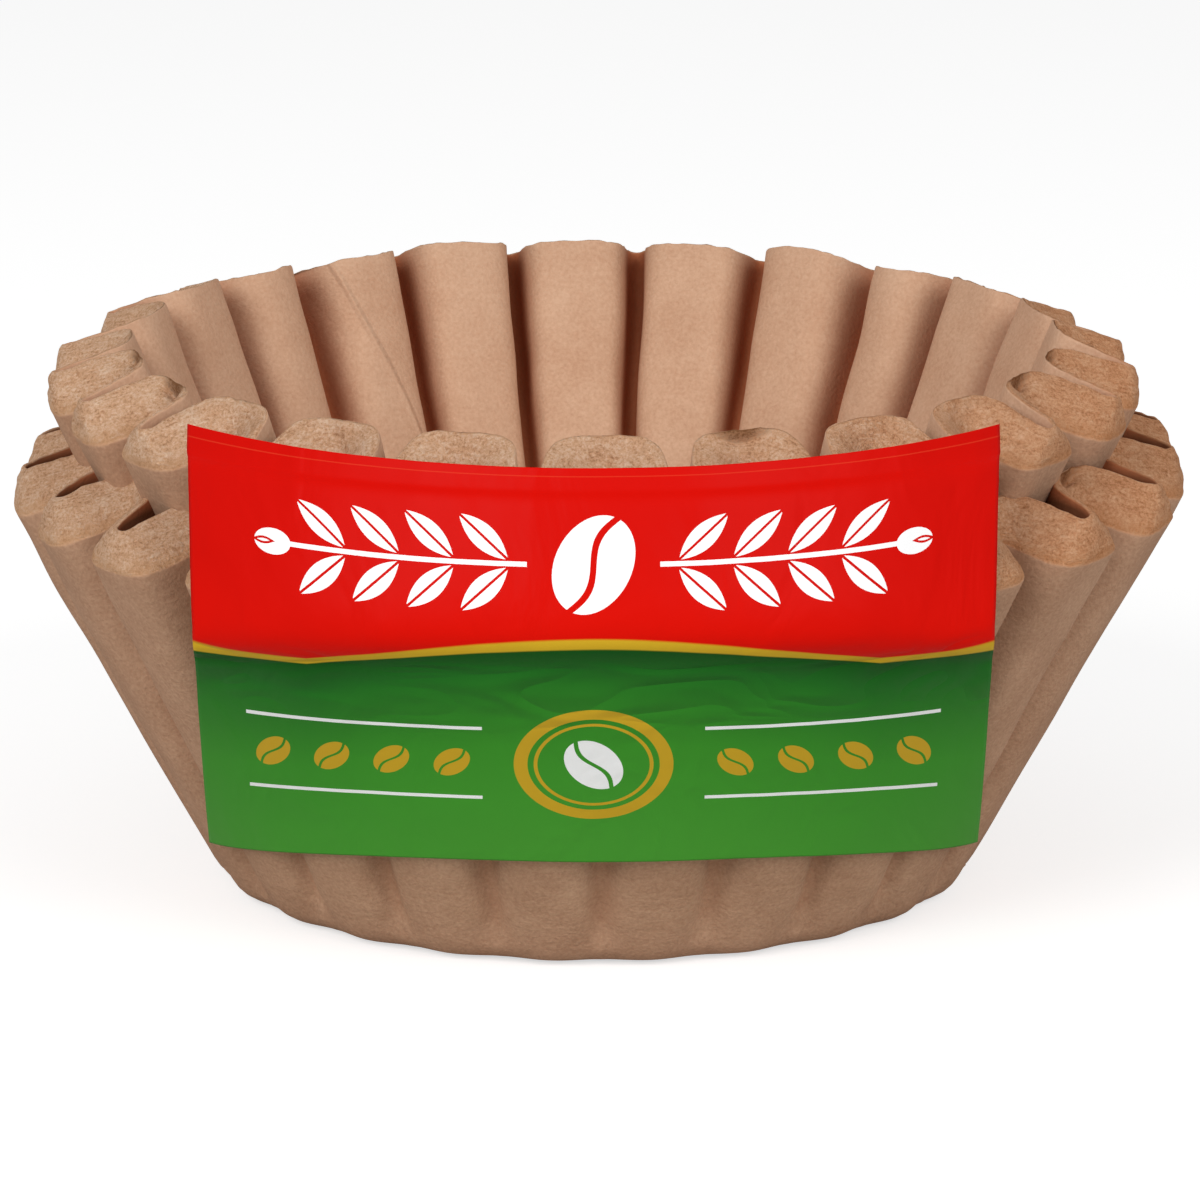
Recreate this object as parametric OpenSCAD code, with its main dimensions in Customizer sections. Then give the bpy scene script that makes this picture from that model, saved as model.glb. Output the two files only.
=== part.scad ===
// Nested stack of paper coffee filters: two stacks of fluted basket filters, one sitting in the
// other, with a printed label sheet wrapped over the front. Millimetres, +Z up.
// The base rests on z = 0 about the origin, and the label faces -Y.

/* [Filter sheets] */
// number of flutes round each stack
flutes = 24; // [20:1:28]
// radius of the flat round sheet a filter is pressed from
sheet_r = 113.6; // [106:0.2:124]
// radius of the outer stack at its foot, over the flute ridges
foot_r = 52.6; // [46:0.2:58]
// lean of the wall from upright, in degrees
lean = 30.7; // [24:0.1:36]
// depth of a flute at the rim, ridge to groove
flute_depth = 8; // [4:0.2:9]
// share of the flute depth left at the foot
foot_share = 0.12; // [0.05:0.01:0.4]
// how far the grooves are pinched narrow, 0 for even waves
pinch = 0.68; // [0:0.02:0.8]
// turn of the first ridge from the front, in degrees
flute_turn = 8.6; // [0:0.1:15]

/* [Stacks] */
// thickness of one stack's wall, all its sheets together
wall_t = 6.2; // [4:0.1:8]
// thickness of one stack's flat base
base_t = 5.5; // [3:0.1:8]
// how much further up the wall the innermost sheet ends
rim_step = 4.3; // [0:0.1:7]
// how much further up the wall the rim ends at the ridges than in the grooves
ridge_rise = 2; // [0:0.1:3]
// swell of the cut rim between its two edges
rim_swell = 1; // [0:0.1:1.5]
// clearance kept between the fluted walls of the two stacks
nest_gap = 0.3; // [0.1:0.05:1]
// squeeze of the round shape, left to right, per mm of height
squeeze = 0.056; // [0:0.002:0.09]
// how much higher the outer stack's rim stands on the right
rim_tilt = 1; // [0:0.1:3]

/* [Label] */
// width of the label sheet seen from the front
label_w = 105.6; // [80:0.2:112]
// height of the label's lower edge at the middle
label_z = 18; // [14:0.5:30]
// how much lower its two bottom corners hang
label_droop = 7.7; // [0:0.1:9]
// how much narrower the label is drawn in at the outer rim, on each side
label_waist = 1.2; // [0:0.1:2]
// share of the inner stack's cut rim that the label reaches over
label_over = 0.88; // [0.4:0.02:1]
// thickness of the label sheet
label_t = 0.4; // [0.2:0.05:0.8]
// clearance between the label and the ridges under it
label_gap = 0.35; // [0.1:0.05:0.6]

/* [Hidden] */

// ten points along every flute
steps = 10;
cols = flutes * steps;
wave = flute_depth / 2;
wdir = [sin(lean), cos(lean)];
ndir = [cos(lean), -sin(lean)];
heel_r = 1.4;
deg = 180 / PI;

// wave angle whose pinched place is x, found by halving; s is +1 outside and -1 inside
function wave_at(x, s, lo = 0, hi = 180, n = 16) =
    n == 0 ? (lo + hi) / 2 :
    let (m = (lo + hi) / 2)
    m + s * pinch * deg * sin(m) < x ? wave_at(x, s, m, hi, n - 1) : wave_at(x, s, lo, m, n - 1);

// distance between the two stacks' ridge lines, so that the meshed flutes just clear
mesh = max([for (x = [0:6:180]) wave * (cos(wave_at(x, 1)) - cos(wave_at(x, -1)))]);
nest = wall_t + mesh + nest_gap;

// a stack is [foot radius, foot height, wall length, rim tilt]
outer = [foot_r, 0, sheet_r - foot_r, rim_tilt];
inner_r = foot_r + base_t * tan(lean) - nest / cos(lean);
inner = [inner_r, base_t, sheet_r - inner_r, 0];

// a point at mean radius r, height z and turn a, on the squeezed round
function oval(r, z, a) =
    let (d = squeeze * z, b = a + d / (2 * max(r, 20)) * deg * sin(2 * a))
    [(r - d) * sin(b), -(r + d) * cos(b), z];

// radius and height on the wall: ph wave angle, u 0 outside to 1 inside, v 0 foot to 1 rim,
// up is extra length past the rim and rise the part of rim_step that counts
function wall_rz(st, a, ph, u, v, up = 0) =
    let (amp = wave * (foot_share + (1 - foot_share) * v),
         d = amp * (cos(ph) - 1) - wall_t * u,
         s0 = u * (base_t - wall_t * sin(lean)) / cos(lean),
         s1 = st[2] + rim_step * u + st[3] * (1 + sin(a)) + ridge_rise * (1 + cos(ph)) / 2,
         s = s0 + v * (s1 - s0) + up)
    [st[0] + s * wdir[0] + d * ndir[0], st[1] + s * wdir[1] + d * ndir[1]];

// a row of points round the stack; pull draws it inwards, and flat lays it on height z
function row(st, u, v, pull = 0, up = 0, flat = false) =
    [for (i = [0:cols - 1])
        let (ph = i * 360 / steps,
             a = flute_turn + (ph + (1 - 2 * u) * pinch * deg * sin(ph)) / flutes,
             rz = wall_rz(st, a, ph % 360, u, v, up))
        oval(rz[0] - pull, flat ? st[1] + u * base_t : rz[1], a)];

// closed skin over rows of equal length, with a point at the middle of each end
function skin_faces(n, rows) =
    let (last = n * rows + 1)
    concat(
        [for (j = [0:rows - 2], i = [0:n - 1])
            [j * n + i, j * n + (i + 1) % n, (j + 1) * n + (i + 1) % n]],
        [for (j = [0:rows - 2], i = [0:n - 1])
            [j * n + i, (j + 1) * n + (i + 1) % n, (j + 1) * n + i]],
        [for (i = [0:n - 1]) [n * rows, (i + 1) % n, i]],
        [for (i = [0:n - 1]) [last, (rows - 1) * n + i, (rows - 1) * n + (i + 1) % n]]);

// one pressed stack of sheets: up the outside, over the cut rim and down the inside
module stack(st) {
    rows = [
        row(st, 0, 0, heel_r, flat = true),
        row(st, 0, 0.028, heel_r * 0.3),
        row(st, 0, 0.11),
        row(st, 0, 0.55),
        row(st, 0, 1),
        row(st, 0.5, 1, up = rim_swell),
        row(st, 1, 1),
        row(st, 1, 0.55),
        row(st, 1, 0.11),
        row(st, 1, 0.03, heel_r * 0.6),
        row(st, 1, 0, heel_r * 1.7, flat = true)];
    points = concat([for (r = rows) each r], [[0, 0, st[1]], [0, 0, st[1] + base_t]]);
    faces = skin_faces(cols, len(rows));
    polyhedron(points, [for (f = faces) [f[2], f[1], f[0]]]);
}

module inner_stack() {
    color("#c9a583") stack(inner);
}

module outer_stack() {
    color("#b8926f") stack(outer);
}

// the label's path over the front at turn a, from its top edge down to the outer rim
function path(a) = [
    wall_rz(inner, a, 0, label_over, 1) + wdir * (rim_swell + label_gap),
    wall_rz(inner, a, 0, label_over / 2, 1) + wdir * (rim_swell + label_gap),
    wall_rz(inner, a, 0, 0, 1) + ndir * label_gap + wdir * (rim_swell + label_gap),
    wall_rz(outer, a, 0, 0, 1) + ndir * (rim_swell / 2 + label_gap) + wdir * label_gap];
path_rows = 4;
label_cols = 24;
wall_rows = 6;
label_arc = 58;

// radius and height on the label: x from the middle, k the row
function label_rz(x, k) =
    let (p = path(asin(min(1, max(-1, x / (path(0)[3][0] - squeeze * path(0)[3][1]))))))
    k < path_rows ? p[k] :
    let (f = (k - path_rows + 1) / wall_rows,
         z1 = p[path_rows - 1][1],
         z = z1 + f * (label_z - label_droop * pow(abs(2 * x / label_w), 2.4) - z1))
    [foot_r + z * tan(lean) + label_gap / cos(lean), z];

// place across the sheet of column i in row k, closer together towards the sides
function label_x(i, k) =
    let (waist = label_waist * (k < 2 ? 0 : k < path_rows ? (k == 2 ? 0.3 : 1)
                                          : 1 - (k - path_rows + 1) / wall_rows))
    (label_w / 2 - waist) * sin(label_arc * (2 * i / label_cols - 1)) / sin(label_arc);

// a point of the sheet, out is 0 for its inner and 1 for its outer face
function label_pt(x, k, out) =
    let (p = label_rz(x, k), d = squeeze * p[1],
         side = k < 2 ? wdir : k == 2 ? (wdir + ndir) / norm(wdir + ndir) : ndir,
         a = p[0] - d + out * label_t * side[0],
         b = p[0] + d + out * label_t * side[0])
    [x, -b * sqrt(max(0, 1 - pow(x / a, 2))), p[1] + out * label_t * side[1]];

// the thin sheet between two grids of points
module label() {
    n = label_cols + 1;
    m = path_rows + wall_rows;
    inside = [for (k = [0:m - 1], i = [0:n - 1]) label_pt(label_x(i, k), k, 0)];
    outside = [for (k = [0:m - 1], i = [0:n - 1]) label_pt(label_x(i, k), k, 1)];
    h = n * m;
    faces = concat(
        [for (k = [0:m - 2], i = [0:n - 2]) [k * n + i, (k + 1) * n + i + 1, k * n + i + 1]],
        [for (k = [0:m - 2], i = [0:n - 2]) [k * n + i, (k + 1) * n + i, (k + 1) * n + i + 1]],
        [for (k = [0:m - 2], i = [0:n - 2]) [h + k * n + i, h + k * n + i + 1, h + (k + 1) * n + i + 1]],
        [for (k = [0:m - 2], i = [0:n - 2]) [h + k * n + i, h + (k + 1) * n + i + 1, h + (k + 1) * n + i]],
        [for (i = [0:n - 2]) [i, i + 1, h + i + 1, h + i]],
        [for (i = [0:n - 2]) [h + h - n + i, h + h - n + i + 1, h - n + i + 1, h - n + i]],
        [for (k = [0:m - 2]) [h + k * n, h + (k + 1) * n, (k + 1) * n, k * n]],
        [for (k = [0:m - 2]) [k * n + n - 1, (k + 1) * n + n - 1, h + (k + 1) * n + n - 1, h + k * n + n - 1]]);
    color("#d0241a") polyhedron(concat(inside, outside), faces);
}

inner_stack();
outer_stack();
label();
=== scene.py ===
import math
import random

import bmesh
import bpy
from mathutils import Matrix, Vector, noise


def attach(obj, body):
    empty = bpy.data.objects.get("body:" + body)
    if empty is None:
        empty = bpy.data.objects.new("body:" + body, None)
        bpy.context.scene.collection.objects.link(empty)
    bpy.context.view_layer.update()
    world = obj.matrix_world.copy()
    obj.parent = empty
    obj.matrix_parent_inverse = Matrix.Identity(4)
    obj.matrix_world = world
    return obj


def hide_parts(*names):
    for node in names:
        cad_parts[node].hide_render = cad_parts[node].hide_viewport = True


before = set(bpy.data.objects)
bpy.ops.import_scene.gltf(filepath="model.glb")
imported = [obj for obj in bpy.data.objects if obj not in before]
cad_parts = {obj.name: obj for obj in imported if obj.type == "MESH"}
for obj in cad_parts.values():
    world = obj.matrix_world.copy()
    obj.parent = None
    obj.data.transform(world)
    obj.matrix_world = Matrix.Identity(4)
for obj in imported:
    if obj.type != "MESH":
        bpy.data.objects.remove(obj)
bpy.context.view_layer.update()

# The camera stands in front of the pack and looks down on it a little, with a long lens, so that
# the round mouth shows as a flat oval. Its place was worked out from the photograph.
camera = bpy.data.objects.new("view_camera", bpy.data.cameras.new("view_camera"))
bpy.context.scene.collection.objects.link(camera)
camera.data.sensor_width = 36.0
camera.data.lens = 177.8
camera.data.clip_start = 0.05
camera.data.clip_end = 20.0
camera.location = (0.0, -0.8153, 0.2281)
camera.rotation_euler = (math.radians(90 - 13.11), 0.0, math.radians(-0.064))
bpy.context.scene.camera = camera


# The stand is a plain pale table top under two soft lamps, one on each side of the camera, and a
# pale room. The eye sees table and room as white, and the table still takes the pack's shadow.
def srgb(code):
    """A hex colour as the linear colour that a shader wants."""
    parts = [int(code[i:i + 2], 16) / 255 for i in (1, 3, 5)]
    return tuple(p / 12.92 if p <= 0.04045 else ((p + 0.055) / 1.055) ** 2.4 for p in parts) + (1.0,)


def add(tree, kind, values=None, links=None, **settings):
    """Adds one node with its settings, the values of its sockets and the links into them."""
    made = tree.nodes.new(kind)
    for key, value in settings.items():
        setattr(made, key, value)
    for socket, value in (values or {}).items():
        made.inputs[socket].default_value = value
    for socket, source in (links or {}).items():
        tree.links.new(source, made.inputs[socket])
    return made


def new_material(name):
    """An empty material made of nodes, and the tree to fill."""
    made = bpy.data.materials.new(name)
    made.use_nodes = True
    made.node_tree.nodes.clear()
    return made, made.node_tree


room = bpy.data.worlds.new("pale_room")
bpy.context.scene.world = room
room.use_nodes = True
tree = room.node_tree
tree.nodes.clear()
ray = add(tree, "ShaderNodeLightPath")
level = add(tree, "ShaderNodeMapRange", {"To Min": 0.36, "To Max": 1.0}, {"Value": ray.outputs["Is Camera Ray"]})
sky = add(tree, "ShaderNodeBackground", {"Color": (1, 1, 1, 1)}, {"Strength": level.outputs["Result"]})
add(tree, "ShaderNodeOutputWorld", links={"Surface": sky.outputs[0]})

table_finish, tree = new_material("matt_white_table_paper")
ray = add(tree, "ShaderNodeLightPath")
glow = add(tree, "ShaderNodeMath", {1: 0.62}, {0: ray.outputs["Is Camera Ray"]}, operation="MULTIPLY")
white = add(tree, "ShaderNodeEmission", {"Color": (1, 1, 1, 1)}, {"Strength": glow.outputs[0]})
matt = add(tree, "ShaderNodeBsdfDiffuse", {"Color": srgb("#d2d2d2")})
both = add(tree, "ShaderNodeAddShader", links={0: white.outputs[0], 1: matt.outputs[0]})
add(tree, "ShaderNodeOutputMaterial", links={"Surface": both.outputs[0]})
shape = bmesh.new()
bmesh.ops.create_grid(shape, x_segments=1, y_segments=1, size=2.5)
bmesh.ops.translate(shape, verts=shape.verts, vec=(0, 0, -0.0002))
table = bpy.data.objects.new("table_top", bpy.data.meshes.new("table_top"))
shape.to_mesh(table.data)
shape.free()
table.data.materials.append(table_finish)
bpy.context.scene.collection.objects.link(table)

for name, place, size, power in (
        ("left_softbox", (-0.80, -1.20, 0.90), 0.8, 13.5),
        ("right_softbox", (0.90, -1.10, 0.85), 0.8, 9.5)):
    lamp = bpy.data.objects.new(name, bpy.data.lights.new(name, "AREA"))
    lamp.data.shape = "SQUARE"
    lamp.data.size = size
    lamp.data.energy = power
    lamp.location = place
    lamp.rotation_euler = (Vector((0, 0, 0.04)) - Vector(place)).to_track_quat("-Z", "Y").to_euler()
    bpy.context.scene.collection.objects.link(lamp)

# The outer filters are about fifty thin sheets of unbleached paper, nested and pressed together
# between fluted dies. Their round edges are cut all at once, so they end in one soft, furry rim.
# Sizes are in millimetres, and turns in degrees from the front towards the right.
MM = 0.001
FLUTES = 24
COLUMNS = 40                # columns of the mesh in one flute
OUTSIDE_ROWS, RIM_ROWS, INSIDE_ROWS, HEEL_ROWS = 31, 24, 27, 5
FLUTE_DEPTH = 8.0           # at the rim
FOOT_SHARE = 0.14           # of that depth, at the foot
FLUTE_TURN = 8.6            # of the first lobe
SLOT_HALF = 0.06            # half of a slot's width, as a share of a flute
SLOT_DEPTH = 3.2            # how far a slot is pressed in from inside, and from outside 0.4 of that
LEAN = math.radians(30.7)   # of the wall, from upright
WALL = 6.2                  # about fifty sheets
FLOOR = 5.5
HEELS = (3.5, 5.0)          # the bend at the foot, outside and inside
RIM_STEP = 4.3              # how much higher the cut ends inside than outside
RIDGE_RISE = 2.0            # how much higher the rim stands on a lobe than in a slot
RIM_SWELL = 1.5             # how far the cut edges puff up
WAVE, WAVE_SPAN = 0.45, 10.0
RAGGED, RAGGED_SPAN = 0.28, 1.5
SQUEEZE = 0.056             # of the round, from the sides, for each millimetre of height
# A stack's foot is a radius and its length is the wall's. Tilt lifts the rim on the right; pushed and
# waist shift and narrow it. Outside and inside are how crisp the slots are, low and high in the wall,
# and eased is how much rounder they are on either side of the back. Shaded and the two keys after it
# set the painted shade in a slot, how brown and dark it is drawn the deeper it runs, and slot is its
# own depth from inside. Turned holds how many degrees single lobes and slots stray, and pitted where
# the rim is frayed.
OUTER = {"foot": 52.6, "floor": 0.0, "length": 61.0, "tilt": 1.0, "pushed": 0.75, "waist": 0.007, "seed": 11,
         "outside": (0.85, 1.0), "inside": (0.35, 0.8), "eased": 0.0, "shaded": 0.25, "deep_shade": 1.9, "shade_spread": (0.62, 14),
         "turned": {2: -1.2, 2.5: -1.2, 3: -1.6, 3.5: -1.6, 4: -2.2, 4.5: -2.6, 5: -0.4},
         "slot": 2.0, "pitted": {3: 1.5, 8: 1.0, 15: 1.2, 20: 1.8}}
up_wall = (math.sin(LEAN), math.cos(LEAN))
off_wall = (math.cos(LEAN), -math.sin(LEAN))
# Blender's noise draws from the clock unless it is given a number. Both stacks share one field of
# waves, which moves their nested walls together.
noise.seed_set(OUTER["seed"])


def on_oval(radius, height, turn):
    """A point of the round that the film has squeezed from the sides, in millimetres."""
    pull = SQUEEZE * height
    round_turn = turn + pull / (2 * max(radius, 20)) * math.sin(2 * turn)
    return Vector(((radius - pull) * math.sin(round_turn), -(radius + pull) * math.cos(round_turn), height))


def on_wall(stack, turn, raised, depth, through, along, past, step=None):
    """Radius and height in the wall: through is 0 outside to 1 inside, along 0 foot to 1 rim."""
    start = through * (FLOOR - WALL * math.sin(LEAN)) / math.cos(LEAN)
    step = through if step is None else step
    end = stack["length"] + RIM_STEP * step + stack["tilt"] * (1 + math.sin(turn)) + RIDGE_RISE * raised
    reach = start + along * (end - start) + past
    depth -= WALL * through
    return (stack["foot"] + reach * up_wall[0] + depth * off_wall[0],
            stack["floor"] + reach * up_wall[1] + depth * off_wall[1])


def slot_section(angle, crisp, square):
    """How far round and how deep a pressed slot runs, as shares of a flute, from its middle at 0."""
    far = abs(angle) / math.pi
    soft = (1 + math.cos(angle)) / 2
    spread = (1 - square) * far ** 2.6 + square * max(0, (far - 0.3) / 0.7) ** 1.8
    narrow = SLOT_HALF * math.sin(math.pi / 2 * min(1, (2.5 + 1.5 * square) * far)) + (0.5 - SLOT_HALF) * spread
    steep = (1 - square) * soft ** 1.6 + square * (0.9 / (1 + math.exp((far - 0.38) / 0.06)) + 0.1 * soft)
    return math.copysign(crisp * narrow + (1 - crisp) * far / 2, angle), crisp * steep + (1 - crisp) * soft


def stack_stops():
    """The way round a stack's section: under the foot, up the outside, over the rim, down the inside.

    A stop is its kind, how far through the wall and along it, and the size of its bend or swell.
    """
    stops = [("flat", 0, share, 0) for share in (0.02, 0.35, 0.7, 0.9)]
    stops += [("heel", 0, t / HEEL_ROWS, HEELS[0]) for t in range(HEEL_ROWS + 1)]
    stops += [("wall", 0, 0.06 + 0.94 * (t / OUTSIDE_ROWS), 0) for t in range(1, OUTSIDE_ROWS)]
    stops += [("rim", (1 - math.cos(math.pi * t / RIM_ROWS)) / 2, 1, math.sin(math.pi * t / RIM_ROWS))
              for t in range(RIM_ROWS + 1)]
    stops += [("wall", 1, 0.09 + 0.91 * (1 - t / INSIDE_ROWS), 0) for t in range(1, INSIDE_ROWS)]
    stops += [("heel", 1, 1 - t / HEEL_ROWS, HEELS[1]) for t in range(HEEL_ROWS + 1)]
    return stops + [("flat", 1, share, 0) for share in (0.9, 0.7, 0.35, 0.02)]


def press_stack(name, stack):
    """Rolls a grid of one sheet's section round into a stack, and presses its flutes."""
    chance = random.Random(stack["seed"])
    crest = [[chance.uniform(-1, 1) for _ in range(4)] for _ in range(FLUTES)]
    groove = [[chance.uniform(-1, 1) for _ in range(4)] for _ in range(FLUTES)]
    stops = stack_stops()
    last = len(stops) - 1
    count = FLUTES * COLUMNS
    shape = bmesh.new()
    bmesh.ops.create_grid(shape, x_segments=count, y_segments=last, size=0.5)
    cut = shape.verts.layers.float.new("cut")
    ply = shape.verts.layers.float.new("ply")
    climb = shape.verts.layers.float.new("climb")
    painted_slot_shade = shape.verts.layers.float.new("painted_slot_shade")
    frayed = shape.verts.layers.float.new("frayed")
    sheet = shape.loops.layers.uv.new("sheet")
    for face in shape.faces:
        face.smooth = True
        for loop in face.loops:
            kind, through, along, extra = stops[round((loop.vert.co.y + 0.5) * last)]
            across = through * WALL + {"wall": 60 * along, "rim": 60, "heel": 3 * along, "flat": 45 * (along - 1)}[kind]
            loop[sheet].uv = ((loop.vert.co.x + 0.5) * 0.5, across * MM)
    ends = {0: [], last: []}
    for vert in shape.verts:
        row = round((vert.co.y + 0.5) * last)
        column = round((vert.co.x + 0.5) * count)
        kind, through, along, extra = stops[row]
        groove_at, step = divmod(column, COLUMNS)
        crest_at = (groove_at + (step * 2 > COLUMNS)) % FLUTES
        phase = 2 * math.pi * step / COLUMNS
        lobe = (1 + math.cos(phase)) / 2
        v = along if kind in ("wall", "rim") else 0.0
        outside, inside = [low + (high - low) * max(0.0, min(1.0, (v - 0.7) / 0.2))
                           for low, high in (stack["outside"], stack["inside"])]
        from_back = abs((FLUTE_TURN + 360 * column / count) % 360 - 180)
        inside *= 1 - stack["eased"] * math.exp(-((from_back - 42) / 13) ** 2)
        sharp = min(1.0, 8 * v)
        out_around, out_down = slot_section(phase - math.pi, outside * sharp, 0.1)
        in_around, in_down = slot_section(phase - 2 * math.pi * (step * 2 > COLUMNS), inside * sharp, 0.55)
        out_around += groove_at + 0.5
        in_around += groove_at + (step * 2 > COLUMNS)
        groove_at %= FLUTES
        height_share = FOOT_SHARE + (1 - FOOT_SHARE) * v
        out_depth = -(FLUTE_DEPTH * height_share + 0.4 * SLOT_DEPTH * v) * out_down
        in_depth = -FLUTE_DEPTH * height_share * (1 - in_down) + stack["slot"] * v * in_down
        around = (1 - through) * out_around + through * in_around
        depth = (1 - through) * out_depth + through * in_depth
        raised = (1 - through) * (1 - out_down) + through * in_down
        turn = math.radians(FLUTE_TURN) + around * 2 * math.pi / FLUTES
        calm = 0.25 + 0.75 * min(1.0, max(0.0, 3.2 * (0.86 - math.cos(turn))))
        rim_step = through * (1 - 0.667 * (1 - calm) * in_down * v)
        near = [calm * (lobe * a + (1 - lobe) * b) for a, b in zip(crest[crest_at], groove[groove_at])]
        swing = lobe * stack["turned"].get(crest_at, 0) + (1 - lobe) * stack["turned"].get(groove_at + 0.5, 0)
        turn += math.radians(0.3 * near[0] * v * v + swing * min(1.0, 1.4 * v))
        if kind == "rim":
            past = (0.8 * RIM_SWELL + 0.2 * RIM_SWELL * calm) * extra ** 0.75 * (0.55 + 0.45 * lobe)
            pit = stack["pitted"].get(groove_at, 0.5 * near[3] ** 2)
            fray = min(1.0, 0.4 + pit) * math.exp(-lobe / 0.16 - ((through - 0.9) / 0.14) ** 2)
            pit *= math.exp(-lobe / 0.06 - ((through - 0.78) / 0.13) ** 2)
            radius, height = on_wall(stack, turn, raised, depth, through, 1, past - 1.4 * pit, rim_step)
        elif kind == "wall":
            radius, height = on_wall(stack, turn, raised, depth, through, along, 0, rim_step)
        else:
            corner = on_wall(stack, turn, raised, depth, through, 0, 0)[0]
            t = along if kind == "heel" else 0.0
            bend = HEELS[through]
            radius = (corner - bend) * (along if kind == "flat" else 1) + bend * (
                (1 - (1 - t) ** 2 + t * t * up_wall[0]) if kind == "heel" else 0)
            height = stack["floor"] + through * FLOOR + bend * t * t * up_wall[1]
        if not through:
            pinch = math.exp(-((v - 0.03) / 0.05) ** 2) if kind == "wall" else 0.7 * t * t if kind == "heel" else 0.0
            radius += (0.7 + 0.3 * groove[groove_at][0]) * pinch * math.exp(-lobe / 0.035)
        radius += 0.6 * near[1] * v * v
        height += 0.6 * near[2] * v * v
        place = on_oval(radius, height, turn)
        place.x = place.x * (1 - stack["waist"] * v ** 3) + stack["pushed"] * v ** 3
        if v > 0:
            place += (WAVE * v * calm) * noise.noise_vector(place / WAVE_SPAN)
            if kind == "rim":
                place += RAGGED * min(1.0, 3 * extra) * noise.noise_vector(place / RAGGED_SPAN)
        vert.co = place * MM
        vert[cut] = extra if kind == "rim" else 0.0
        vert[ply] = through
        vert[climb] = v
        # Painted shade: how brown and dark each slot is drawn, more the deeper it runs, towards the back, lower in the
        # wall, and most inside the outer stack under the inner one.
        behind = ((1 - math.cos(turn)) / 2) ** 2
        slot_shade = behind + (1 - behind) * min(1.0, stack["shade_spread"][0] + stack["shade_spread"][1] * (1 - v))
        slot_shade *= stack["deep_shade"] * in_down ** stack["shaded"]
        vert[painted_slot_shade] = sharp * (slot_shade if through > 0.9 else 0.3 * out_down)
        vert[frayed] = fray if kind == "rim" else 0.0
        if row in ends:
            ends[row].append(vert)
    for row, ring in ends.items():
        bmesh.ops.pointmerge(shape, verts=ring, merge_co=(0, 0, ring[0].co.z))
    bmesh.ops.remove_doubles(shape, verts=shape.verts, dist=1e-7)
    bmesh.ops.recalc_face_normals(shape, faces=shape.faces)
    piece = bpy.data.objects.new(name, bpy.data.meshes.new(name))
    shape.to_mesh(piece.data)
    shape.free()
    bpy.context.scene.collection.objects.link(piece)
    return piece


def between(value, low, high):
    """1 where a value lies between two others."""
    above = add(tree, "ShaderNodeMath", {1: low}, {0: value}, operation="GREATER_THAN")
    below = add(tree, "ShaderNodeMath", {1: high}, {0: value}, operation="LESS_THAN")
    both = add(tree, "ShaderNodeMath", links={0: above.outputs[0], 1: below.outputs[0]}, operation="MULTIPLY")
    return both.outputs[0]


def joined(operation, *masks):
    """Several masks as one: MAXIMUM for any of them, MULTIPLY for all of them."""
    whole = masks[0]
    for mask in masks[1:]:
        whole = add(tree, "ShaderNodeMath", links={0: whole, 1: mask}, operation=operation).outputs[0]
    return whole


# Unbleached filter paper, creped a little as it dries: matt, faintly mottled and flecked with short
# fibres. Where the sheets are cut it is paler and furry, and a warm line runs along the outer edge.
# The mottle is about 9 mm, the flecks 0.5 mm, the creping 4 by 1 mm and the fur 0.4 mm, which is as
# fine as shows. Slots are painted browner and darker the deeper they run: painted shade. One inner
# flute has a slanting fold.
filter_paper, tree = new_material("unbleached_filter_paper")
where = add(tree, "ShaderNodeTexCoord")
plan = add(tree, "ShaderNodeUVMap", uv_map="sheet")
cut = add(tree, "ShaderNodeAttribute", attribute_name="cut")
ply = add(tree, "ShaderNodeAttribute", attribute_name="ply")
climb = add(tree, "ShaderNodeAttribute", attribute_name="climb")
painted_slot_shade = add(tree, "ShaderNodeAttribute", attribute_name="painted_slot_shade")
frayed = add(tree, "ShaderNodeAttribute", attribute_name="frayed")
mottle = add(tree, "ShaderNodeTexNoise", {"Scale": 110.0, "Detail": 4.0, "Roughness": 0.6},
             {"Vector": where.outputs["Object"]})
fleck = add(tree, "ShaderNodeTexNoise", {"Scale": 1900.0, "Detail": 2.0, "Roughness": 0.6},
            {"Vector": where.outputs["Object"]})
creping = add(tree, "ShaderNodeMapping", {"Scale": (230.0, 900.0, 1.0)}, {"Vector": plan.outputs[0]})
crepe = add(tree, "ShaderNodeTexNoise", {"Scale": 1.0, "Detail": 4.0, "Roughness": 0.65, "Distortion": 0.6},
            {"Vector": creping.outputs[0]})
pulp = add(tree, "ShaderNodeMath", {1: 0.55}, {0: fleck.outputs["Fac"]}, operation="MULTIPLY")
pulp = add(tree, "ShaderNodeMath", {1: 0.45}, {0: mottle.outputs["Fac"], 2: pulp.outputs[0]},
           operation="MULTIPLY_ADD")
tone = add(tree, "ShaderNodeMapRange", {"From Min": 0.32, "From Max": 0.68}, {"Value": pulp.outputs[0]})
wall_colour = add(tree, "ShaderNodeMix", {6: srgb("#c69a7c"), 7: srgb("#dab395")}, {0: tone.outputs[0]},
                  data_type="RGBA")
outer_colour = add(tree, "ShaderNodeMix", {6: srgb("#a57c61"), 7: srgb("#c39a7d")}, {0: tone.outputs[0]},
                   data_type="RGBA")
outermost = add(tree, "ShaderNodeMapRange", {"From Min": 0.0, "From Max": 0.1, "To Min": 0.85, "To Max": 0.0},
                {"Value": ply.outputs["Fac"]})
wall_colour = add(tree, "ShaderNodeMix", links={0: outermost.outputs[0], 6: wall_colour.outputs[2],
                                                7: outer_colour.outputs[2]}, data_type="RGBA")
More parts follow.
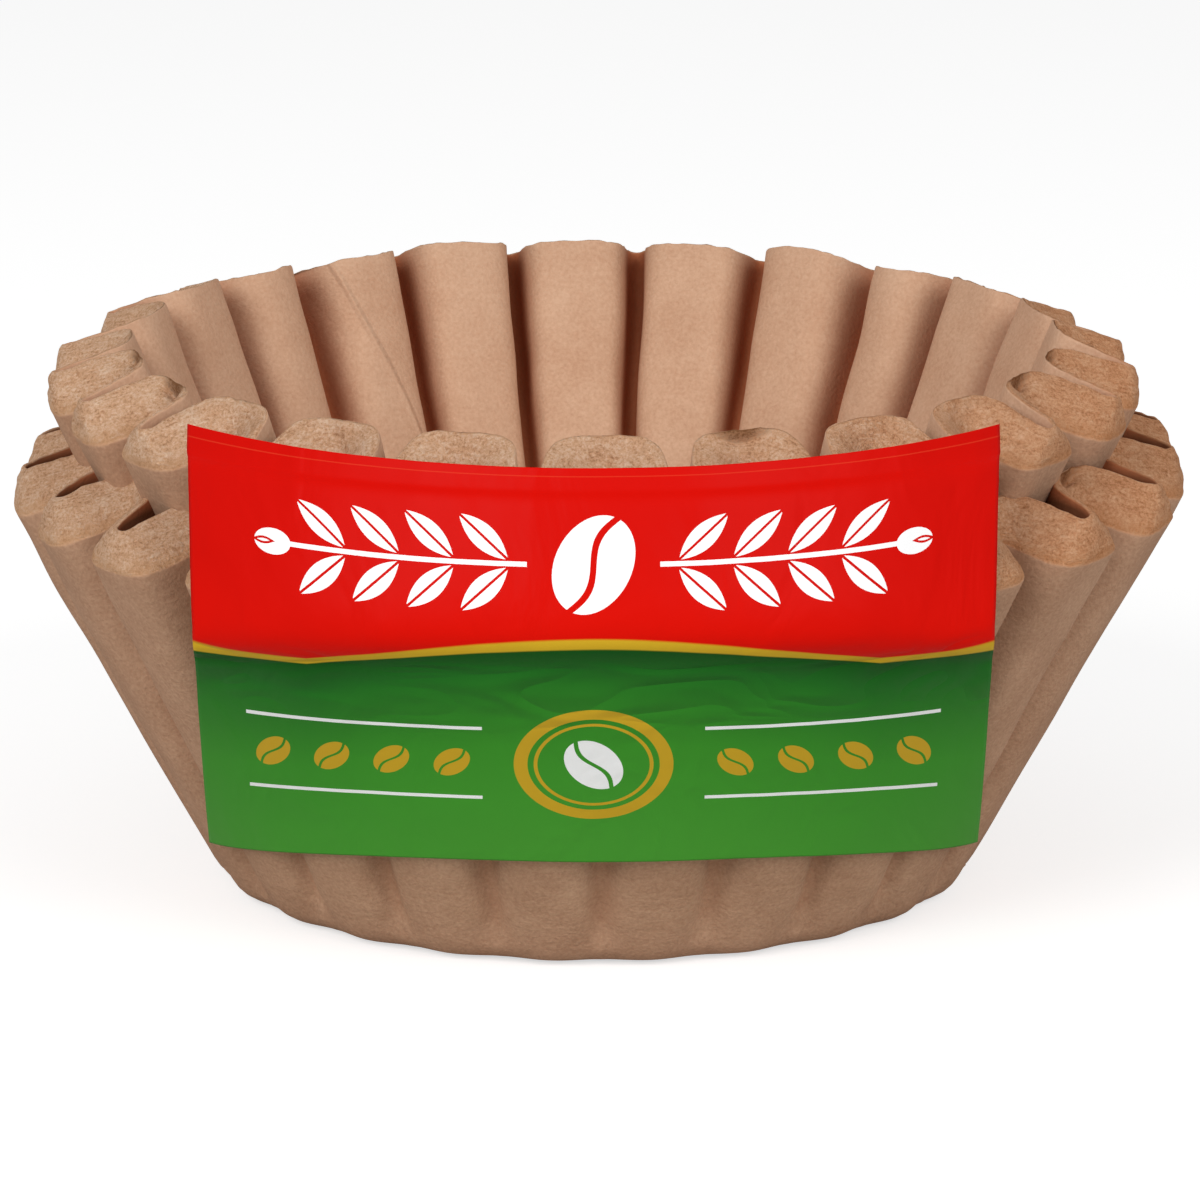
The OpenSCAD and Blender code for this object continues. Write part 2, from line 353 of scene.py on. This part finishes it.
# Painted shade in the slots: a warm brown, and a dark brown deep inside the outer stack, under the inner one.
fold_shade = add(tree, "ShaderNodeMapRange", {"From Min": 0.2, "From Max": 0.9, "To Max": 0.85},
              {"Value": painted_slot_shade.outputs["Fac"]})
wall_colour = add(tree, "ShaderNodeMix", {7: srgb("#a5562e")}, {0: fold_shade.outputs[0], 6: wall_colour.outputs[2]},
                  data_type="RGBA")
deep_shade = add(tree, "ShaderNodeMapRange", {"From Min": 1.0, "From Max": 1.3, "To Max": 0.85},
             {"Value": painted_slot_shade.outputs["Fac"]})
wall_colour = add(tree, "ShaderNodeMix", {7: srgb("#5e3823")}, {0: deep_shade.outputs[0], 6: wall_colour.outputs[2]},
                  data_type="RGBA")
stretch = add(tree, "ShaderNodeMapping", {"Scale": (420.0, 2400.0, 1.0)}, {"Vector": plan.outputs[0]})
plies = add(tree, "ShaderNodeTexNoise", {"Scale": 1.0, "Detail": 3.0, "Roughness": 0.6, "Distortion": 0.8},
            {"Vector": stretch.outputs[0]})
fuzz = add(tree, "ShaderNodeTexNoise", {"Scale": 2300.0, "Detail": 4.0, "Roughness": 0.8, "Distortion": 0.3},
           {"Vector": where.outputs["Object"]})
fur = add(tree, "ShaderNodeMix", {0: 0.72}, {2: plies.outputs["Fac"], 3: fuzz.outputs["Fac"]})
patch = add(tree, "ShaderNodeTexNoise", {"Scale": 420.0, "Detail": 2.0, "Roughness": 0.5},
            {"Vector": where.outputs["Object"]})
fur_share = add(tree, "ShaderNodeMix", {0: 0.16}, {2: fur.outputs[0], 3: patch.outputs["Fac"]})
fur_tone = add(tree, "ShaderNodeValToRGB", links={0: fur_share.outputs[0]})
for element, (place, code) in zip(fur_tone.color_ramp.elements, ((0.355, "#b37d57"), (0.48, "#e1b08a"))):
    element.position = place
    element.color = srgb(code)
fur_tone.color_ramp.elements.new(0.62).color = srgb("#f6d5b8")
edge_near = add(tree, "ShaderNodeMapRange", {"From Min": 0.0, "From Max": 0.26, "To Min": 0.5, "To Max": 0.0},
                {"Value": ply.outputs["Fac"]}, interpolation_type="SMOOTHSTEP")
edge_colour = add(tree, "ShaderNodeMix", {7: srgb("#dca678")}, {0: edge_near.outputs[0], 6: fur_tone.outputs[0]},
                  data_type="RGBA")
# The rim is drawn darker along its inner brink, and in spots at the slot mouths where it is frayed.
brink = add(tree, "ShaderNodeMapRange", {"From Min": 0.93, "From Max": 0.985, "To Max": 0.8},
            {"Value": ply.outputs["Fac"]})
darkened_brink_and_pits = add(tree, "ShaderNodeMath", {1: 1.3}, {0: frayed.outputs["Fac"], 2: brink.outputs[0]}, operation="MULTIPLY_ADD")
darkened_brink_and_pits = add(tree, "ShaderNodeMath", {2: -0.25}, {0: darkened_brink_and_pits.outputs[0], 1: fuzz.outputs["Fac"]}, operation="MULTIPLY_ADD",
           use_clamp=True)
darkened_brink_and_pits = add(tree, "ShaderNodeMath", {1: 2.2}, {0: darkened_brink_and_pits.outputs[0]}, operation="MULTIPLY", use_clamp=True)
edge_colour = add(tree, "ShaderNodeMix", {7: srgb("#8f6341")}, {0: darkened_brink_and_pits.outputs[0], 6: edge_colour.outputs[2]},
                  data_type="RGBA")
# Painted shade: the cut rim is drawn a little darker and warmer on the right side, which is less lit.
sides = add(tree, "ShaderNodeSeparateXYZ", links={0: where.outputs["Object"]})
right_side_shade = add(tree, "ShaderNodeMapRange", {"From Min": 0.0, "From Max": 0.07}, {"Value": sides.outputs["X"]})
edge_colour = add(tree, "ShaderNodeMix", {7: srgb("#f0dac8")}, {0: right_side_shade.outputs[0], 6: edge_colour.outputs[2]},
                  data_type="RGBA", blend_type="MULTIPLY")
is_cut = add(tree, "ShaderNodeMapRange", {"From Min": 0.05, "From Max": 0.35}, {"Value": cut.outputs["Fac"]},
             interpolation_type="SMOOTHSTEP")
colour = add(tree, "ShaderNodeMix", links={0: is_cut.outputs[0], 6: wall_colour.outputs[2], 7: edge_colour.outputs[2]},
             data_type="RGBA")
sheet_relief = add(tree, "ShaderNodeMix", {0: 0.55}, {2: crepe.outputs["Fac"], 3: fleck.outputs["Fac"]})
creasing = add(tree, "ShaderNodeMapping", {"Scale": (80.0, 200.0, 1.0)}, {"Vector": plan.outputs[0]})
crease = add(tree, "ShaderNodeTexNoise", {"Scale": 1.0, "Detail": 2.0, "Roughness": 0.5, "Distortion": 1.2},
             {"Vector": creasing.outputs[0]})
crease_low = add(tree, "ShaderNodeMapRange", {"From Min": 0.1, "From Max": 0.5, "To Min": 1.3, "To Max": 0.2},
                 {"Value": climb.outputs["Fac"]})
sheet_relief = add(tree, "ShaderNodeMath", links={0: crease.outputs["Fac"], 1: crease_low.outputs[0],
                                                  2: sheet_relief.outputs[0]}, operation="MULTIPLY_ADD")
past_fold = add(tree, "ShaderNodeVectorMath", {1: (0.9555, -0.2951, 0.0)}, {0: plan.outputs[0]},
                operation="DOT_PRODUCT")
past_fold = add(tree, "ShaderNodeMath", {1: 0.25318}, {0: past_fold.outputs["Value"]}, operation="SUBTRACT")
near_fold = add(tree, "ShaderNodeMath", links={0: past_fold.outputs[0]}, operation="ABSOLUTE")
ridge = add(tree, "ShaderNodeMapRange", {"From Max": 0.0006, "To Min": 1.3, "To Max": 0.0},
            {"Value": near_fold.outputs[0]}, interpolation_type="SMOOTHSTEP")
dent = add(tree, "ShaderNodeMapRange", {"From Max": 0.0035, "To Max": -4.0}, {"Value": past_fold.outputs[0]})
height_up = add(tree, "ShaderNodeSeparateXYZ", links={0: plan.outputs[0]})
at_top = add(tree, "ShaderNodeMapRange", {"From Min": 0.048, "From Max": 0.06}, {"Value": height_up.outputs["Y"]},
             interpolation_type="SMOOTHSTEP")
ridge = add(tree, "ShaderNodeMath", links={0: dent.outputs[0], 1: at_top.outputs[0], 2: ridge.outputs[0]},
            operation="MULTIPLY_ADD")
inmost = joined("MULTIPLY", between(ply.outputs["Fac"], 0.98, 2), between(height_up.outputs["X"], 0.2725, 0.2915))
ridge = add(tree, "ShaderNodeMath", links={0: ridge.outputs[0], 1: inmost}, operation="MULTIPLY")
sheet_relief = add(tree, "ShaderNodeMath", links={0: sheet_relief.outputs[0], 1: ridge.outputs[0]}, operation="ADD")
relief = add(tree, "ShaderNodeMix", links={0: is_cut.outputs[0], 2: sheet_relief.outputs[0], 3: fur_share.outputs[0]})
deep = add(tree, "ShaderNodeMapRange", {"To Min": 0.00022, "To Max": 0.001}, {"Value": is_cut.outputs[0]})
bump = add(tree, "ShaderNodeBump", {"Strength": 0.9}, {"Height": relief.outputs[0], "Distance": deep.outputs[0]})
shader = add(tree, "ShaderNodeBsdfPrincipled", {"Roughness": 0.92, "Specular IOR Level": 0.12},
             {"Base Color": colour.outputs[2], "Normal": bump.outputs[0]})
add(tree, "ShaderNodeOutputMaterial", links={"Surface": shader.outputs[0]})

outer_filters = press_stack("outer_filters", OUTER)
outer_filters.data.materials.append(filter_paper)
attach(outer_filters, "root")
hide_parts("outer_stack")

# The inner filters are a second stack of the same sheets, set down into the first with its flutes
# in step, so its rim stands higher and its open cup is what the eye looks into.
INNER = {"foot": 43.27, "floor": FLOOR, "length": 70.33, "tilt": 0.0, "pushed": 0.0, "waist": 0.013, "seed": 29,
         "outside": (0.35, 1.0), "inside": (1.0, 1.0), "eased": 0.42, "shaded": 1.0, "deep_shade": 1.0, "shade_spread": (0.35, 5),
         "turned": {3: -1.5, 3.5: 0.0, 4: 1.2, 5.5: -0.8, 6: -1.5, 7: 1.5, 7.5: 2.6, 8: 2.8, 8.5: 1.9, 9: 1.1,
                    9.5: 1.3, 10: 1.6, 10.5: 1.6, 11: 1.6, 11.5: 1.2, 12: 0.8, 12.5: 0.2, 13: -0.2, 13.5: -0.5,
                    14: -0.9, 14.5: -1.2, 15: -1.4, 15.5: -1.3, 16: -1.0, 16.5: -0.4, 17.5: 0.9, 18: 1.6, 18.5: 1.2,
                    19: 0.7},
         "slot": SLOT_DEPTH, "pitted": {0: 0.8, 4: 2.0, 5: 1.6, 6: 1.2, 3: 1.5, 19: 1.8, 18: 1.0}}
inner_filters = press_stack("inner_filters", INNER)
inner_filters.data.materials.append(filter_paper)
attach(inner_filters, "root")
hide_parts("inner_stack")

# The label is a band of printed plastic film, red over green, wrapped over the two rims and down
# the front. It is tight over the rims and leans back with the outer wall below them.
LABEL_WIDTH = 105.6
LABEL_FOOT = 18.3
LABEL_DROOP = 7.7
LABEL_WAIST = 1.2
LABEL_OVER = 0.80
LABEL_GAP = 1.0
LABEL_ARC = math.radians(58)
FILM_LIFT = 2.0
FILM_SLACK = 3.5            # how far the film's ends run on past the lower rim before they turn down
PRINT_SLIP = 5.6            # what that moves the print at the ends, to be taken back
BENDS = 10


def film_bend(x, bend):
    """Radius and height of one of the ten places where the film is held, from its top edge down."""
    stack, through, off, up = ((INNER, LABEL_OVER, 0, FILM_LIFT), (INNER, LABEL_OVER / 2, 0, FILM_LIFT),
                               (INNER, 0, LABEL_GAP, FILM_LIFT), (OUTER, 0, LABEL_GAP + 0.5, LABEL_GAP))[min(bend, 3)]
    radius, height = on_wall(stack, 0, 1, 0, through, 1, 0)
    side = abs(2 * x / LABEL_WIDTH)
    slack = FILM_SLACK * side ** 2 if bend > 2 else 0
    radius += off * off_wall[0] + up * up_wall[0] + 0.33 * slack
    height += off * off_wall[1] + up * up_wall[1] - slack + (0.8 * side ** 2 - 0.3 if bend == 0 else 0)
    if bend > 3:
        share = (bend - 3) / (BENDS - 4)
        height += share * (LABEL_FOOT - LABEL_DROOP * side ** 2.8 - height)
        radius = OUTER["foot"] + height * math.tan(LEAN) + LABEL_GAP / math.cos(LEAN)
        radius += 0.93 * slack * (1 - share) ** 1.5
    pull = SQUEEZE * height
    wide, deep = radius - pull, radius + pull
    return Vector((x, -deep * math.sqrt(max(0, 1 - (x / wide) ** 2)), height))


def on_film(share, row):
    """A point of the film, on a smooth line through its bends: share is -1 to 1 across it."""
    waist = 0 if row < 1 else LABEL_WAIST * (0.3 * (row - 1) if row < 2 else 0.3 + 0.7 * (row - 2) if row < 3
                                            else 1 - (row - 3) / 6)
    x = (LABEL_WIDTH / 2 - waist) * share
    low = min(int(row), BENDS - 2)
    t = row - low
    before, start, end, after = [film_bend(x, max(0, min(BENDS - 1, low + step))) for step in (-1, 0, 1, 2)]
    return 0.5 * (2 * start + (end - before) * t + (2 * before - 5 * start + 4 * end - after) * t * t
                  + (3 * start - before - 3 * end + after) * t ** 3)


ACROSS, DOWN = 150, 126
shape = bmesh.new()
bmesh.ops.create_grid(shape, x_segments=ACROSS, y_segments=DOWN, size=0.5)
middle_line = [on_film(0, (BENDS - 1) * step / DOWN) for step in range(DOWN + 1)]
down_film = [0.0]
for high, low in zip(middle_line, middle_line[1:]):
    down_film.append(down_film[-1] + (high - low).length)
film_length = down_film[-1]
rim_line = film_length - down_film[round(DOWN * 3 / (BENDS - 1))]
film = shape.loops.layers.uv.new("film")
places = {}
for vert in shape.verts:
    column, row = round((vert.co.x + 0.5) * ACROSS), round((0.5 - vert.co.y) * DOWN)
    share = math.sin(LABEL_ARC * (2 * column / ACROSS - 1)) / math.sin(LABEL_ARC)
    bend = (BENDS - 1) * row / DOWN
    place = on_film(share, bend)
    slipped = PRINT_SLIP * abs(share) ** 2.6 * max(0, min(bend - 2, (BENDS - 1 - bend) / 6))
    wrinkle = noise.noise(place / 17.0) * 0.4 + noise.noise(Vector((place.x / 4.0, 0, place.z / 22.0))) * 0.12
    wrinkle += 1.1 * math.exp(-((bend - 4.2) / 1.1) ** 2) * (0.2 + 0.8 * share ** 2) * noise.noise(
        Vector((place.x / 13.0 - place.z / 16.0, 3.3, place.z / 7.0 + place.x / 30.0)))
    places[vert] = ((share * LABEL_WIDTH / 200, (film_length - down_film[row] - slipped) / 100),
                    (place + Vector((0, -max(0, 0.15 + wrinkle), 0))) * MM)
for face in shape.faces:
    face.smooth = True
    for loop in face.loops:
        loop[film].uv = places[loop.vert][0]
for vert in shape.verts:
    vert.co = places[vert][1]
bmesh.ops.recalc_face_normals(shape, faces=shape.faces)
label = bpy.data.objects.new("label_film", bpy.data.meshes.new("label_film"))
shape.to_mesh(label.data)
shape.free()
bpy.context.scene.collection.objects.link(label)
thick = label.modifiers.new("film_thickness", "SOLIDIFY")
thick.thickness = 0.00025
thick.offset = 0.0

# Printed polypropylene film: inks under a clear skin, with a soft shine and the faint crinkles of a
# wrap. Its print is a red and a green field with a gold line, a leaf spray and rows of beans in white
# and gold. The green is drawn darker towards the gold line.
label_film, tree = new_material("printed_polypropylene_film")
plan = add(tree, "ShaderNodeUVMap", uv_map="film")
print_mm = add(tree, "ShaderNodeVectorMath", {"Scale": 100.0}, {0: plan.outputs[0]}, operation="SCALE")
split = add(tree, "ShaderNodeSeparateXYZ", links={0: print_mm.outputs[0]})


def bean_print(spot, middle, wide, tall, tilt):
    """A bean's outline less its curled slit, 1 where its ink is."""
    own = add(tree, "ShaderNodeMapping", {"Location": middle, "Rotation": (0, 0, tilt), "Scale": (wide, tall, 1)},
              {"Vector": spot}, vector_type="TEXTURE")
    reach = add(tree, "ShaderNodeVectorMath", links={0: own.outputs[0]}, operation="LENGTH")
    inside = add(tree, "ShaderNodeMath", {1: 1.0}, {0: reach.outputs["Value"]}, operation="LESS_THAN")
    axes = add(tree, "ShaderNodeSeparateXYZ", links={0: own.outputs[0]})
    wave = add(tree, "ShaderNodeMath", {1: 3.1}, {0: axes.outputs["Y"]}, operation="MULTIPLY")
    wave = add(tree, "ShaderNodeMath", links={0: wave.outputs[0]}, operation="SINE")
    wave = add(tree, "ShaderNodeMath", {1: 0.2}, {0: wave.outputs[0], 2: axes.outputs["X"]}, operation="MULTIPLY_ADD")
    aside = add(tree, "ShaderNodeMath", links={0: wave.outputs[0]}, operation="ABSOLUTE")
    body = add(tree, "ShaderNodeMath", {1: 0.09}, {0: aside.outputs[0]}, operation="GREATER_THAN")
    return joined("MULTIPLY", inside.outputs[0], body.outputs[0])


SPRAY_Y, ROW_Y = rim_line + 8.5, 19.0
# the leaf spray in the red field, the same on both sides and above and below its stem
mirrored = add(tree, "ShaderNodeVectorMath", {1: (0, SPRAY_Y, 0)}, {0: print_mm.outputs[0]}, operation="SUBTRACT")
mirrored = add(tree, "ShaderNodeVectorMath", links={0: mirrored.outputs[0]}, operation="ABSOLUTE")
aside = add(tree, "ShaderNodeSeparateXYZ", links={0: mirrored.outputs[0]})
one_leaf = add(tree, "ShaderNodeVectorMath", {1: (17.0, 50.0, 1.0), 2: (10.0, -50.0, -1.0)},
               {0: mirrored.outputs[0]}, operation="WRAP")
leaf = add(tree, "ShaderNodeMapping", {"Location": (14.0, 3.3, 0), "Rotation": (0, 0, math.radians(42)),
                                       "Scale": (4.2, 1.55, 1)}, {"Vector": one_leaf.outputs[0]}, vector_type="TEXTURE")
leaf = add(tree, "ShaderNodeSeparateXYZ", links={0: leaf.outputs[0]})
round_end = add(tree, "ShaderNodeMath", links={0: leaf.outputs["X"], 1: leaf.outputs["X"]}, operation="MULTIPLY")
half = add(tree, "ShaderNodeMath", links={0: leaf.outputs["Y"]}, operation="ABSOLUTE")
blade = add(tree, "ShaderNodeMath", links={0: round_end.outputs[0], 1: half.outputs[0]}, operation="ADD")
blade = joined("MULTIPLY", between(blade.outputs[0], -1, 1), between(half.outputs[0], 0.11, 2),
               between(aside.outputs["X"], 10.0, 38.0))
stem = joined("MULTIPLY", between(aside.outputs["Y"], -1, 0.32), between(aside.outputs["X"], 8.5, 39.5))
tip = bean_print(mirrored.outputs[0], (41.5, 0, 0), 1.7, 2.4, math.radians(90))
heart = bean_print(print_mm.outputs[0], (0, SPRAY_Y, 0), 4.9, 6.6, math.radians(-28))
# the ring and the rows of beans in the green field, the same on both sides
mirrored = add(tree, "ShaderNodeVectorMath", links={0: print_mm.outputs[0]}, operation="ABSOLUTE")
aside = add(tree, "ShaderNodeSeparateXYZ", links={0: mirrored.outputs[0]})
one_bean = add(tree, "ShaderNodeVectorMath", {1: (22.5, 100.0, 1.0), 2: (14.5, -100.0, -1.0)},
               {0: mirrored.outputs[0]}, operation="WRAP")
small = joined("MULTIPLY", bean_print(one_bean.outputs[0], (18.5, ROW_Y, 0), 2.1, 2.9, math.radians(35)),
               between(aside.outputs["X"], 14.5, 46.5))
far = add(tree, "ShaderNodeVectorMath", {1: (0, ROW_Y, 0)}, {0: print_mm.outputs[0]}, operation="DISTANCE")
ring = joined("MAXIMUM", between(far.outputs["Value"], 8.6, 10.4), between(far.outputs["Value"], 7.3, 7.8))
seed = bean_print(print_mm.outputs[0], (0, ROW_Y, 0), 3.5, 4.9, math.radians(28))
rules = joined("MAXIMUM", between(aside.outputs["Y"], ROW_Y + 6.3, ROW_Y + 6.9),
               between(aside.outputs["Y"], ROW_Y - 6.9, ROW_Y - 6.3))
rules = joined("MULTIPLY", rules, between(aside.outputs["X"], 14.5, 46.0))
white_ink = joined("MAXIMUM", blade, stem, tip, heart, seed, rules)
gold_ink = joined("MAXIMUM", small, ring)
# the fields meet in a gold line, which arches a little towards the middle
arch = add(tree, "ShaderNodeMath", {1: 1 / 37.5}, {0: aside.outputs["X"]}, operation="MULTIPLY")
arch = add(tree, "ShaderNodeMath", {1: 2.0}, {0: arch.outputs[0]}, operation="POWER")
arch = add(tree, "ShaderNodeMath", {1: 1.0}, {0: arch.outputs[0]}, operation="MINIMUM")
level = add(tree, "ShaderNodeMath", {1: 6.3}, {0: arch.outputs[0], 2: split.outputs["Y"]}, operation="MULTIPLY_ADD")
level = add(tree, "ShaderNodeMapRange", {"From Min": rim_line - 41.7, "From Max": rim_line + 38.3},
            {"Value": level.outputs[0]})
fields = add(tree, "ShaderNodeValToRGB", links={0: level.outputs["Result"]})
ramp = fields.color_ramp
tints = ((0.0, "#4ca235"), (0.25, "#3f962c"), (0.43, "#237023"), (0.488, "#135616"), (0.4905, "#135616"),
         (0.4915, "#d8ae28"), (0.508, "#d8ae28"), (0.509, "#dc0e02"), (0.66, "#d40b02"), (1.0, "#d80c03"))
for place, code in tints[1:-1]:
    ramp.elements.new(place)
for element, (place, code) in zip(ramp.elements, tints):
    element.position = place
    element.color = srgb(code)
inks = add(tree, "ShaderNodeMix", {7: srgb("#d2a92a")}, {0: gold_ink, 6: fields.outputs["Color"]}, data_type="RGBA")
inks = add(tree, "ShaderNodeMix", {7: srgb("#ffffff")}, {0: white_ink, 6: inks.outputs[2]}, data_type="RGBA")
# A thin, lighter line is drawn just below the film's top edge.
top_edge_line = add(tree, "ShaderNodeMath", {1: 0.4}, {0: between(split.outputs["Y"], film_length - 1.18, film_length - 1.05)},
          operation="MULTIPLY")
inks = add(tree, "ShaderNodeMix", {7: srgb("#e84a2c")}, {0: top_edge_line.outputs[0], 6: inks.outputs[2]}, data_type="RGBA")
crinkling = add(tree, "ShaderNodeMapping", {"Scale": (9.0, 5.0, 1.0)}, {"Vector": plan.outputs[0]})
crinkle = add(tree, "ShaderNodeTexNoise", {"Scale": 1.0, "Detail": 3.0, "Roughness": 0.5, "Distortion": 0.8},
              {"Vector": crinkling.outputs[0]})
folding = add(tree, "ShaderNodeMapping", {"Rotation": (0, 0, 0.3), "Scale": (5.0, 13.0, 1.0)},
              {"Vector": plan.outputs[0]})
fold = add(tree, "ShaderNodeTexNoise", {"Scale": 1.0, "Detail": 1.0, "Roughness": 0.4, "Distortion": 1.0},
           {"Vector": folding.outputs[0]})
fold = add(tree, "ShaderNodeMath", {1: 0.5}, {0: fold.outputs["Fac"]}, operation="SUBTRACT")
fold = add(tree, "ShaderNodeMath", links={0: fold.outputs[0]}, operation="ABSOLUTE")
below_rim = add(tree, "ShaderNodeMapRange", {"From Min": rim_line - 22, "From Max": rim_line - 10, "To Max": 5.0},
                {"Value": split.outputs["Y"]}, interpolation_type="SMOOTHSTEP")
above_rim = add(tree, "ShaderNodeMapRange",
                {"From Min": rim_line - 9, "From Max": rim_line - 4, "To Min": 1.0, "To Max": 0.0},
                {"Value": split.outputs["Y"]}, interpolation_type="SMOOTHSTEP")
slack = joined("MULTIPLY", fold.outputs[0], below_rim.outputs[0], above_rim.outputs[0])
film_relief = add(tree, "ShaderNodeMath", links={0: crinkle.outputs["Fac"], 1: slack}, operation="ADD")
bump = add(tree, "ShaderNodeBump", {"Strength": 0.5, "Distance": 0.0012}, {"Height": film_relief.outputs[0]})
shader = add(tree, "ShaderNodeBsdfPrincipled", {"Roughness": 0.45, "Specular IOR Level": 0.05},
             {"Base Color": inks.outputs[2], "Normal": bump.outputs[0]})
add(tree, "ShaderNodeOutputMaterial", links={"Surface": shader.outputs[0]})
label.data.materials.append(label_film)
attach(label, "root")
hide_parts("label")

bpy.context.view_layer.update()
bpy.context.scene.view_settings.view_transform = "Standard"
